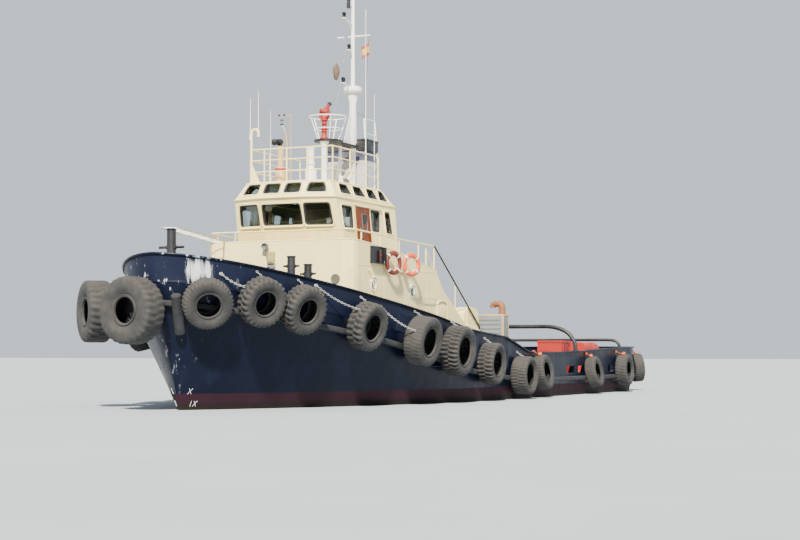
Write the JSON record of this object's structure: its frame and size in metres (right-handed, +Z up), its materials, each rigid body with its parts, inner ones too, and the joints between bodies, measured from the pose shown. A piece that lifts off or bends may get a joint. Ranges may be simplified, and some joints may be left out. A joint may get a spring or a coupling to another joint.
{
  "type": "harbour tug",
  "caption": "Harbour tug with a raised bow, tyre fenders hung from a rubbing belt all round, a raised wheelhouse with sky windows, a fire monitor, a mast and a low aft deck with tow gear.",
  "frame": {"origin": "amidships on the centreline at the waterline", "axes": "+X to the bow, +Y to port, +Z up"},
  "size_m": [32.7227, 10.0898, 18.3],
  "materials": {
    "navy_paint": "satin navy blue paint, scuffed",
    "antifouling": "matt dark red antifouling paint",
    "cream_paint": "satin cream paint with rust streaks",
    "white_paint": "satin white paint",
    "black_paint": "satin black paint",
    "red_paint": "satin red paint",
    "grey_paint": "satin grey paint",
    "orange_plastic": "matt orange",
    "tyre_rubber": "weathered matt rubber",
    "bronze": "polished bronze",
    "bare_steel": "galvanised",
    "varnished_wood": "varnished brown wood",
    "window_glass": "clear tinted glass"
  },
  "bodies": {
    "hull": {"hull": "navy_paint", "bulwark_forward": "navy_paint", "bulwark_aft": "navy_paint", "fenders_port": "tyre_rubber", "fenders_starboard": "tyre_rubber", "fenders_bow": "tyre_rubber", "skeg": "antifouling", "nozzle": "antifouling", "deckhouse": "cream_paint", "engine_casing": "cream_paint", "stair_port": "cream_paint", "stair_starboard": "cream_paint", "wheelhouse_walls": "cream_paint", "wheelhouse_roof": "white_paint", "glazing_lower": "window_glass", "glazing_sky": "window_glass", "helm": "grey_paint", "upper_deck_rails": "cream_paint", "roof_rails": "cream_paint", "funnel": "cream_paint", "mast": "white_paint", "monitor_platform": "cream_paint", "searchlight_post": "cream_paint", "roof_canister": "white_paint", "sidelight_port": "black_paint", "sidelight_starboard": "black_paint", "lifebuoys_port": "orange_plastic", "lifebuoys_starboard": "orange_plastic", "bitt_bow": "black_paint", "bitts_port": "black_paint", "bitts_starboard": "black_paint", "windlass": "grey_paint", "boarding_ladder": "bare_steel", "machinery_box": "grey_paint", "tow_post": "black_paint", "tow_arch_forward": "black_paint", "tow_arch_aft": "black_paint", "locker": "red_paint", "gear_cover": "red_paint", "bitts_aft_port": "black_paint", "bitts_aft_starboard": "black_paint"},
    "propeller": {"propeller": "bronze"},
    "rudder": {"rudder": "antifouling"},
    "casing_door": {"casing_door": "cream_paint"},
    "wheelhouse_door_port": {"wheelhouse_door_port": "varnished_wood"},
    "wheelhouse_door_starboard": {"wheelhouse_door_starboard": "varnished_wood"},
    "monitor_head": {"monitor_head": "red_paint"},
    "monitor_barrel": {"monitor_barrel": "red_paint"},
    "searchlight": {"searchlight": "black_paint"},
    "windlass_drum": {"windlass_drum": "black_paint"},
    "tow_hook": {"tow_hook": "black_paint"},
    "locker_lid": {"locker_lid": "red_paint"}
  },
  "joints": [
    {"name": "propeller_spin", "type": "hinge", "parent": "hull", "child": "propeller", "pos_m": [-12.3, 0, -2.35], "axis": [1, 0, 0], "continuous": true},
    {"name": "rudder_turn", "type": "hinge", "parent": "hull", "child": "rudder", "pos_m": [-13.95, 0, -2.35], "axis": [0, 0, 1], "range_deg": [-35, 35]},
    {"name": "casing_door_hinge", "type": "hinge", "parent": "hull", "child": "casing_door", "pos_m": [-0.945, 0.372, 2], "axis": [0, 0, -1], "range_deg": [0, 110]},
    {"name": "wheelhouse_door_port_slide", "type": "slide", "parent": "hull", "child": "wheelhouse_door_port", "axis": [-1, 0, 0], "range_m": [0, 0.86]},
    {"name": "wheelhouse_door_starboard_slide", "type": "slide", "parent": "hull", "child": "wheelhouse_door_starboard", "axis": [-1, 0, 0], "range_m": [0, 0.86]},
    {"name": "monitor_train", "type": "hinge", "parent": "hull", "child": "monitor_head", "pos_m": [6.1, 0, 9.07], "axis": [0, 0, 1], "range_deg": [-170, 170]},
    {"name": "monitor_elevate", "type": "hinge", "parent": "monitor_head", "child": "monitor_barrel", "pos_m": [6.1, 0, 9.31], "axis": [0, 1, 0], "range_deg": [-43, 37]},
    {"name": "searchlight_train", "type": "hinge", "parent": "hull", "child": "searchlight", "pos_m": [7.3, -0.93, 8.09], "axis": [0, 0, 1], "range_deg": [-170, 170]},
    {"name": "windlass_spin", "type": "hinge", "parent": "hull", "child": "windlass_drum", "pos_m": [13.3, 0, 3.35], "axis": [0, 1, 0], "continuous": true},
    {"name": "tow_hook_swing", "type": "hinge", "parent": "hull", "child": "tow_hook", "pos_m": [-4.3, 0, 1.65], "axis": [0, 0, 1], "range_deg": [-70, 70]},
    {"name": "locker_lid_hinge", "type": "hinge", "parent": "hull", "child": "locker_lid", "pos_m": [-7.75, 2.31, 1.99], "axis": [1, 0, 0], "range_deg": [0, 100]}
  ]
}
